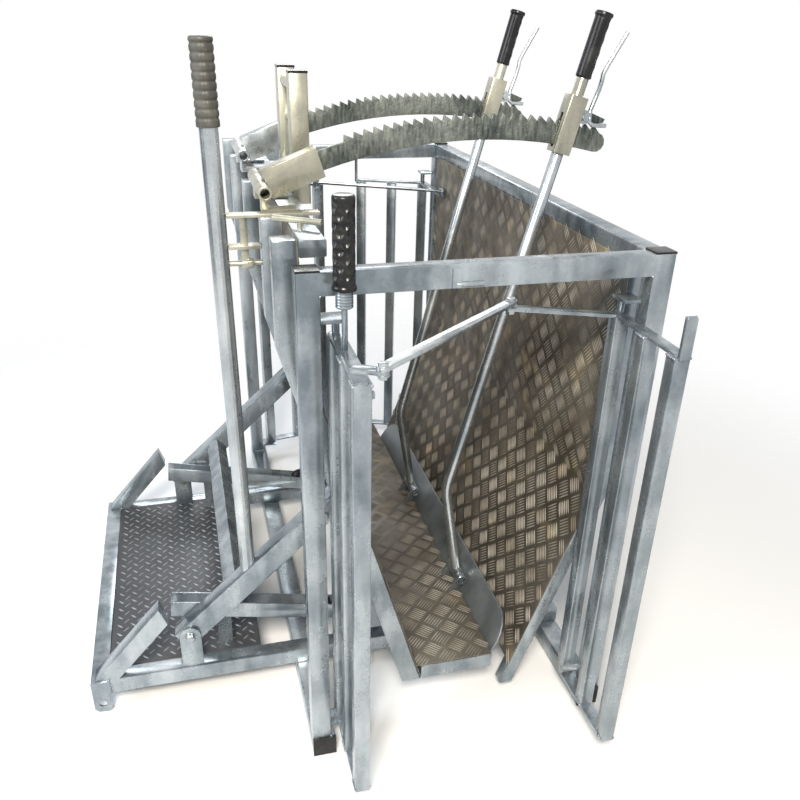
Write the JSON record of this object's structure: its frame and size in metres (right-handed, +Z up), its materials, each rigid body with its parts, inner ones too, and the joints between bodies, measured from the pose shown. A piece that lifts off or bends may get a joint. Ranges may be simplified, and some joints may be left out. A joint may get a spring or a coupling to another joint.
{
  "type": "sheep handler",
  "caption": "Galvanised turnover race for sheep: a floor and wall that tip over on side arms, racked clamp levers, and linked double gates front and rear.",
  "frame": {"origin": "on the ground under the middle of the left skid", "axes": "+X across the race away from the operator's platform, +Y along the race from the front gate to the rear gate, +Z up"},
  "size_m": [1.1942, 1.6554, 1.4627],
  "materials": {
    "galvanised_steel": "hot-dip galvanised, satin",
    "tread_plate": "galvanised five-bar tread plate, weathered",
    "zinc_plated_steel": "bright zinc plating, slightly yellow",
    "dull_steel": "dull grey galvanised",
    "black_rubber": "matte black"
  },
  "bodies": {
    "base_frame": {"skid_left": "galvanised_steel", "skid_right": "galvanised_steel", "near_frame": "galvanised_steel", "far_frame": "galvanised_steel", "right_top_rail": "galvanised_steel", "cross_beam_near": "galvanised_steel", "cross_beam_far": "galvanised_steel", "platform_plate": "tread_plate", "platform_edge": "galvanised_steel", "pivot_bolt_near": "zinc_plated_steel", "pivot_bolt_far": "zinc_plated_steel", "roller_track_near": "galvanised_steel", "roller_track_far": "galvanised_steel", "right_wall_sheet": "tread_plate", "right_rib_near": "galvanised_steel", "right_rib_middle": "galvanised_steel", "right_rib_far": "galvanised_steel", "gate_handle_near": "galvanised_steel", "gate_grip_near": "black_rubber"},
    "crate": {"turnover_arms": "galvanised_steel", "left_rib_1": "galvanised_steel", "left_rib_2": "galvanised_steel", "left_rib_3": "galvanised_steel", "left_rib_4": "galvanised_steel", "left_rib_5": "galvanised_steel", "left_wall_sheet": "tread_plate", "left_wall_rail": "galvanised_steel", "floor_frame": "galvanised_steel", "floor_plate": "tread_plate", "flap_plate": "dull_steel", "knuckle_pin_near": "galvanised_steel", "knuckle_pin_far": "galvanised_steel", "operator_lever": "galvanised_steel", "operator_grip": "black_rubber", "lever_stays": "zinc_plated_steel", "rack_near": "dull_steel", "rack_far": "dull_steel", "rack_arm_near": "zinc_plated_steel", "rack_arm_far": "zinc_plated_steel", "guide_posts": "zinc_plated_steel"},
    "guide_roller": {"guide_roller": "zinc_plated_steel"},
    "clamp_near": {"clamp_lever_near": "galvanised_steel", "clamp_box_near": "zinc_plated_steel", "clamp_grip_near": "black_rubber"},
    "clamp_far": {"clamp_lever_far": "galvanised_steel", "clamp_box_far": "zinc_plated_steel", "clamp_grip_far": "black_rubber"},
    "trigger_near": {"trigger_near": "zinc_plated_steel"},
    "trigger_far": {"trigger_far": "zinc_plated_steel"},
    "near_gate_left": {"gate_left_near": "galvanised_steel"},
    "near_gate_right": {"gate_right_near": "galvanised_steel"},
    "near_gate_link": {"gate_link_near": "zinc_plated_steel"},
    "far_gate_left": {"gate_left_far": "galvanised_steel"},
    "far_gate_right": {"gate_right_far": "galvanised_steel"},
    "far_gate_link": {"gate_link_far": "zinc_plated_steel"},
    "roller_near": {"roller_near": "black_rubber"},
    "roller_far": {"roller_far": "black_rubber"}
  },
  "joints": [
    {"name": "turnover", "type": "hinge", "parent": "base_frame", "child": "crate", "pos_m": [-0.265, -0.057, 0.175], "axis": [0, -1, 0], "range_deg": [0, 68]},
    {"name": "guide_roller_spin", "type": "hinge", "parent": "crate", "child": "guide_roller", "pos_m": [0.0609, -0.0975, 1.319], "axis": [0, 1, 0], "continuous": true},
    {"name": "clamp_near_swing", "type": "hinge", "parent": "crate", "child": "clamp_near", "pos_m": [0.413, -0.3275, 0.168], "axis": [0, -1, 0], "range_deg": [0, 22]},
    {"name": "trigger_near_squeeze", "type": "hinge", "parent": "clamp_near", "child": "trigger_near", "pos_m": [0.62, -0.3275, 1.271], "axis": [0, -1, 0], "range_deg": [0, 10], "stiffness_Nm_per_rad": 0.6, "springref_deg": -14.32},
    {"name": "clamp_far_swing", "type": "hinge", "parent": "crate", "child": "clamp_far", "pos_m": [0.413, 0.1125, 0.168], "axis": [0, -1, 0], "range_deg": [0, 22]},
    {"name": "trigger_far_squeeze", "type": "hinge", "parent": "clamp_far", "child": "trigger_far", "pos_m": [0.62, 0.1125, 1.271], "axis": [0, -1, 0], "range_deg": [0, 10], "stiffness_Nm_per_rad": 0.6, "springref_deg": -14.32},
    {"name": "near_gate_left_swing", "type": "hinge", "parent": "base_frame", "child": "near_gate_left", "pos_m": [0.05, -0.6275, 0.5], "axis": [0, 0, 1], "range_deg": [0, 80]},
    {"name": "near_gate_right_swing", "type": "hinge", "parent": "base_frame", "child": "near_gate_right", "pos_m": [0.595, -0.6275, 0.5], "axis": [0, 0, 1], "range_deg": [-69, 0]},
    {"name": "near_gate_link_pin", "type": "hinge", "parent": "near_gate_left", "child": "near_gate_link", "pos_m": [0.0895, -0.81335, 0.96], "axis": [0, 0, 1], "range_deg": [-90.9, 0]},
    {"name": "far_gate_left_swing", "type": "hinge", "parent": "base_frame", "child": "far_gate_left", "pos_m": [0.05, 0.7125, 0.5], "axis": [0, 0, 1], "range_deg": [0, 80]},
    {"name": "far_gate_right_swing", "type": "hinge", "parent": "base_frame", "child": "far_gate_right", "pos_m": [0.595, 0.7125, 0.5], "axis": [0, 0, 1], "range_deg": [-69, 0]},
    {"name": "far_gate_link_pin", "type": "hinge", "parent": "far_gate_left", "child": "far_gate_link", "pos_m": [0.23988, 0.70587, 0.96], "axis": [0, 0, 1], "range_deg": [-90.9, 0]},
    {"name": "roller_near_spin", "type": "hinge", "parent": "base_frame", "child": "roller_near", "pos_m": [0.091, -0.3709, 0.14857], "axis": [0, 1, 0], "continuous": true},
    {"name": "roller_far_spin", "type": "hinge", "parent": "base_frame", "child": "roller_far", "pos_m": [0.091, 0.2569, 0.14857], "axis": [0, 1, 0], "continuous": true}
  ],
  "couplings": [
    {"joint": "near_gate_right_swing", "follows": "near_gate_left_swing", "ratio": -0.8625},
    {"joint": "near_gate_link_pin", "follows": "near_gate_left_swing", "ratio": -1.1362},
    {"joint": "far_gate_right_swing", "follows": "far_gate_left_swing", "ratio": -0.8625},
    {"joint": "far_gate_link_pin", "follows": "far_gate_left_swing", "ratio": -1.1362}
  ]
}
